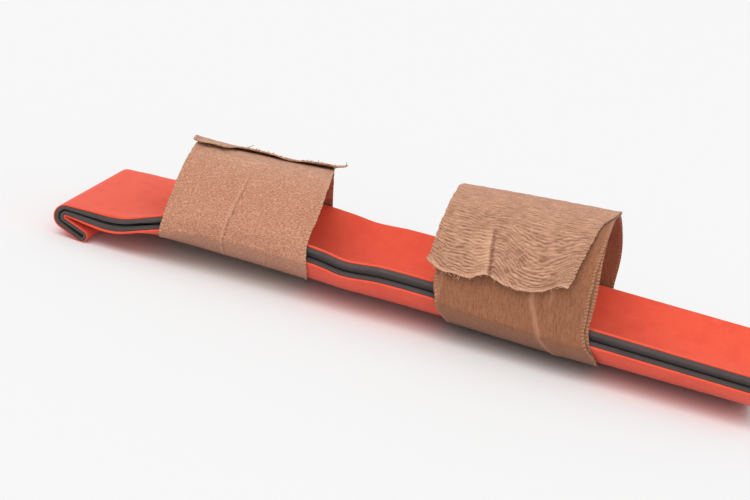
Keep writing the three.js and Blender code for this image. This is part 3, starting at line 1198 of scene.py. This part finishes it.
@dataclass
class Studio:
    """A pale floor, soft light and the camera at the photograph's angle."""

    image_width: float = 750
    azimuth: float = 8
    elevation: float = 17
    roll: float = 13.353
    distance: float = 950
    aim: tuple[float, float, float] = (-27.269, -3.745, 30.283)
    pixels_per_mm: float = 1.61
    sensor: float = 36

    def camera(self) -> None:
        """The camera, turned about its own axis as the photograph is."""
        a, e, p = map(math.radians, (self.azimuth, self.elevation, self.roll))
        back = Vector((math.sin(a) * math.cos(e), -math.cos(a) * math.cos(e), math.sin(e)))
        level = Vector((math.cos(a), math.sin(a), 0))
        upright = Vector((-math.sin(a) * math.sin(e), math.cos(a) * math.sin(e), math.cos(e)))
        right = level * math.cos(p) + upright * math.sin(p)
        up = -level * math.sin(p) + upright * math.cos(p)
        place = (Vector(self.aim) + back * self.distance) * METRE
        data = bpy.data.cameras.new("camera")
        data.sensor_width = self.sensor
        data.lens = self.pixels_per_mm * self.distance * self.sensor / self.image_width
        data.clip_start, data.clip_end = 0.05, 60
        camera = bpy.data.objects.new("camera", data)
        axes = Matrix((right, up, back)).transposed().to_4x4()
        camera.matrix_world = Matrix.Translation(place) @ axes
        bpy.context.scene.collection.objects.link(camera)
        bpy.context.scene.camera = camera

    def lights(self) -> None:
        """An even sky, a broad soft key from above the palm end and a weak fill."""
        world = bpy.data.worlds.new("studio")
        world.use_nodes = True
        sky = world.node_tree.nodes["Background"]
        sky.inputs["Color"].default_value = (1, 1, 1, 1)
        sky.inputs["Strength"].default_value = 0.73
        bpy.context.scene.world = world
        for name, direction, strength, spread in (
            ("key", (0.3, 0.5, -1.0), 1.47, 50),
            ("fill", (-0.35, 1.0, 0.02), 0.5, 80),
        ):
            light = bpy.data.lights.new(name, "SUN")
            light.energy = strength
            light.angle = math.radians(spread)
            lamp = bpy.data.objects.new(name, light)
            lamp.rotation_mode = "QUATERNION"
            lamp.rotation_quaternion = Vector(direction).to_track_quat("-Z", "Y")
            bpy.context.scene.collection.objects.link(lamp)

    def floor(self) -> None:
        """A wide matt floor under the part."""
        deselect()
        bpy.ops.mesh.primitive_plane_add(size=24, location=(0, 0, 0))
        plane = bpy.context.active_object
        plane.name = "floor"
        bench = Bench("pale_floor")
        bench.set(Base_Color=(0.81, 0.81, 0.81, 1), Roughness=0.95, Specular_IOR_Level=0.1)
        plane.data.materials.append(bench.material)

    def build(self) -> None:
        """Sets up the camera, lights and floor."""
        self.camera()
        self.lights()
        self.floor()
        bpy.context.scene.view_settings.view_transform = "Standard"


def wrist_winding() -> Winding:
    """The bandage at the wrist: drawn snug, its cut end standing a little along the top."""
    return Winding(
        name="wrist_wrap",
        at=100.5,
        width=90,
        lean=4,
        lean_angle=math.radians(-57),
        start=math.radians(60),
        wound=math.radians(450),
        free=14,
        free_course=Course(
            ("at", "lift", "tilt", "shift", "width"),
            ((0, 0, 0, 0, 1), (0.5, 0.6, 0.4, 0.04, 1.04), (1, 1.3, 1.4, 0.09, 1.1)),
        ),
        edge=Course(
            ("across", "reach", "lift"),
            (
                (-0.5, 8, 0.3), (-0.42, 11, 1.4), (-0.36, 9, 0.7), (-0.29, 8.5, 1.3),
                (-0.22, 2, 0.2), (-0.1, -0.5, 0), (0.06, 2, 0.1), (0.2, 1.5, -0.3),
                (0.35, 2, 0.6), (0.45, 5, 2.1), (0.5, 5.5, 3.1),
            ),
        ),
        wander=Course(
            ("from_end", "left", "right"),
            (
                (-300, 0, 0), (-286, -0.8, 0), (-277, 1.4, 0.7), (-268, 3, 1.8),
                (-255, 4.4, 3.2), (-241, 3.6, 3.7), (-223, 2, 3.2), (-206, 2.6, 2),
                (-195, 2.2, 1.4), (-186, 0.8, 2.4), (-169, -2.8, 1.8), (-156, -5.5, 0.6),
                (-142, -5, -1.2), (-120, 0, -1), (0, 0, 0),
            ),
        ),
        pucker_height=0.5,
        slack=Course(
            # Slack shapes the puckers, and where the cloth is taut it also places painted shade.
            ("from_end", "slack"),
            (
                (-300, 0.85), (-262, 0.75), (-225, 0.58), (-195, 0.56), (-170, 0.52),
                (-120, 0.5), (-95, 0.5), (-40, 0.6), (0, 0.8),
            ),
        ),
        flat=(0.09, 0.36),
        shown=1.12,
        columns=104,
        ridges=(
            Ridge(
                path=((-232, -110.5), (-206, -112), (-190, -112.5), (-164, -113.5)),
                height=0.8,
                spread=0.8,
                step=0.5,
                tone=0.8,
            ),
        ),
        seed=11,
    )


def elbow_winding() -> Winding:
    """The bandage near the elbow: taut below, its loose flap puckered and hanging."""
    return Winding(
        name="elbow_wrap",
        at=278.5,
        width=90,
        lean=8.2,
        lean_angle=math.radians(35),
        start=math.radians(60),
        wound=math.radians(855),
        free=46,
        free_course=Course(
            ("at", "lift", "tilt", "shift", "width"),
            (
                (0, 0, 0, 0, 1), (0.2, 0.6, 0, 0, 1), (0.5, 1.2, 0, -0.03, 1),
                (1, 2.2, -0.2, -0.11, 0.92),
            ),
        ),
        edge=Course(
            ("across", "reach", "lift"),
            (
                (-0.5, -2.3, 1.2), (-0.46, -0.4, 0.5), (-0.41, 2.2, 0), (-0.35, 3.1, 0),
                (-0.29, 3.4, 0), (-0.23, 4.1, 0), (-0.17, 3.5, 0), (-0.12, 1.4, 0.5),
                (-0.05, 0.6, 0.3), (0, 2.3, 0), (0.06, 4, 0), (0.12, 4.8, 0), (0.17, 5.5, 0),
                (0.23, 5.1, 0), (0.29, 4.5, 0), (0.35, 3.2, 0), (0.41, 0, 0), (0.46, -1.7, 0.6),
                (0.5, -1, 1.4),
            ),
        ),
        wander=Course(
            ("from_end", "left", "right"),
            (
                (-360, 0, 3.4), (-345, 0, 3), (-325, 0.5, 1), (-310, 0, 0.3), (-296, 0.9, 1.3),
                (-286, -0.9, 1.2), (-277, -1, 3.6), (-268, 0.6, 4.6), (-255, 0.4, 5),
                (-241, -2.6, 3.9), (-228, -2, 0), (-210, 0, 0), (-110, 0, 0), (-90, -2, 4.2),
                (-70, -3, 3.9), (-60, -2.6, 1.6), (-54, -2.6, -0.9), (-42, -3, -3.7),
                (-30, -1.8, -4.1), (-18, 0, -2.4), (-12, 0.8, -0.7), (-6, 1.4, 1.3), (0, 1.4, 2),
            ),
        ),
        pucker_height=2,
        # Slack shapes the puckers, and where the cloth is taut it also places painted shade.
        slack=Course(
            ("from_end", "slack"),
            (
                (-360, 0.04), (-230, 0.05), (-200, 0.3), (-130, 0.48), (-95, 0.62), (-70, 0.69),
                (-45, 0.78), (-20, 0.82), (0, 0.82),
            ),
        ),
        flat=(0.09, 0.78),
        shown=1.36,
        columns=84,
        ridges=(
            Ridge(
                path=((-320, 73.5), (-303, 75.5), (-286, 84), (-258, 98)),
                height=1.2,
                spread=3.2,
                step=0.5,
                tone=0.85,
            ),
            Ridge(
                path=((-318, 86), (-300, 86), (-282, 93), (-262, 103)),
                height=0.8,
                spread=2.4,
                tone=0.7,
            ),
            Ridge(path=((-318, 21), (-290, 22.5)), height=0.8, spread=1.9, tone=0.7),
        ),
        pleat=Pleat(path=((-33, -14.5), (-16, -10.5), (0, -6)), height=2.2, rise=5, drop=1.4),
        fringe=Course(
            ("across", "reach"),
            ((-0.5, 1.7), (-0.42, 0.8), (-0.24, 1.8), (-0.12, 0.9), (0.3, 0.7), (0.5, 1.3)),
        ),
        sag=7,
        seed=31,
    )


def main() -> None:
    """Builds the splint, its bandages and the studio in order."""
    logging.basicConfig(level=logging.INFO, format="%(name)s: %(message)s")
    Studio().build()
    form = StripForm()
    red = FoamFinish(
        "red_foam", srgb(234, 86, 58), srgb(212, 64, 42), srgb(240, 122, 96)
    )
    grey = FoamFinish(
        "grey_foam", srgb(78, 68, 67), srgb(54, 46, 47), srgb(112, 102, 100)
    )
    FoldedStrip(form, red, grey, MetalFinish()).build()
    hollow = Hollow(form)
    crepe = CrepeFinish(
        "crepe",
        crest=srgb(246, 200, 166),
        body=srgb(217, 162, 135),
        hollow=srgb(170, 113, 87),
        shade=srgb(152, 101, 71),
        deep=srgb(112, 68, 45),
    )
    for winding in (wrist_winding(), elbow_winding()):
        Bandage(winding, hollow, crepe).build()


if __name__ == "__main__":
    main()
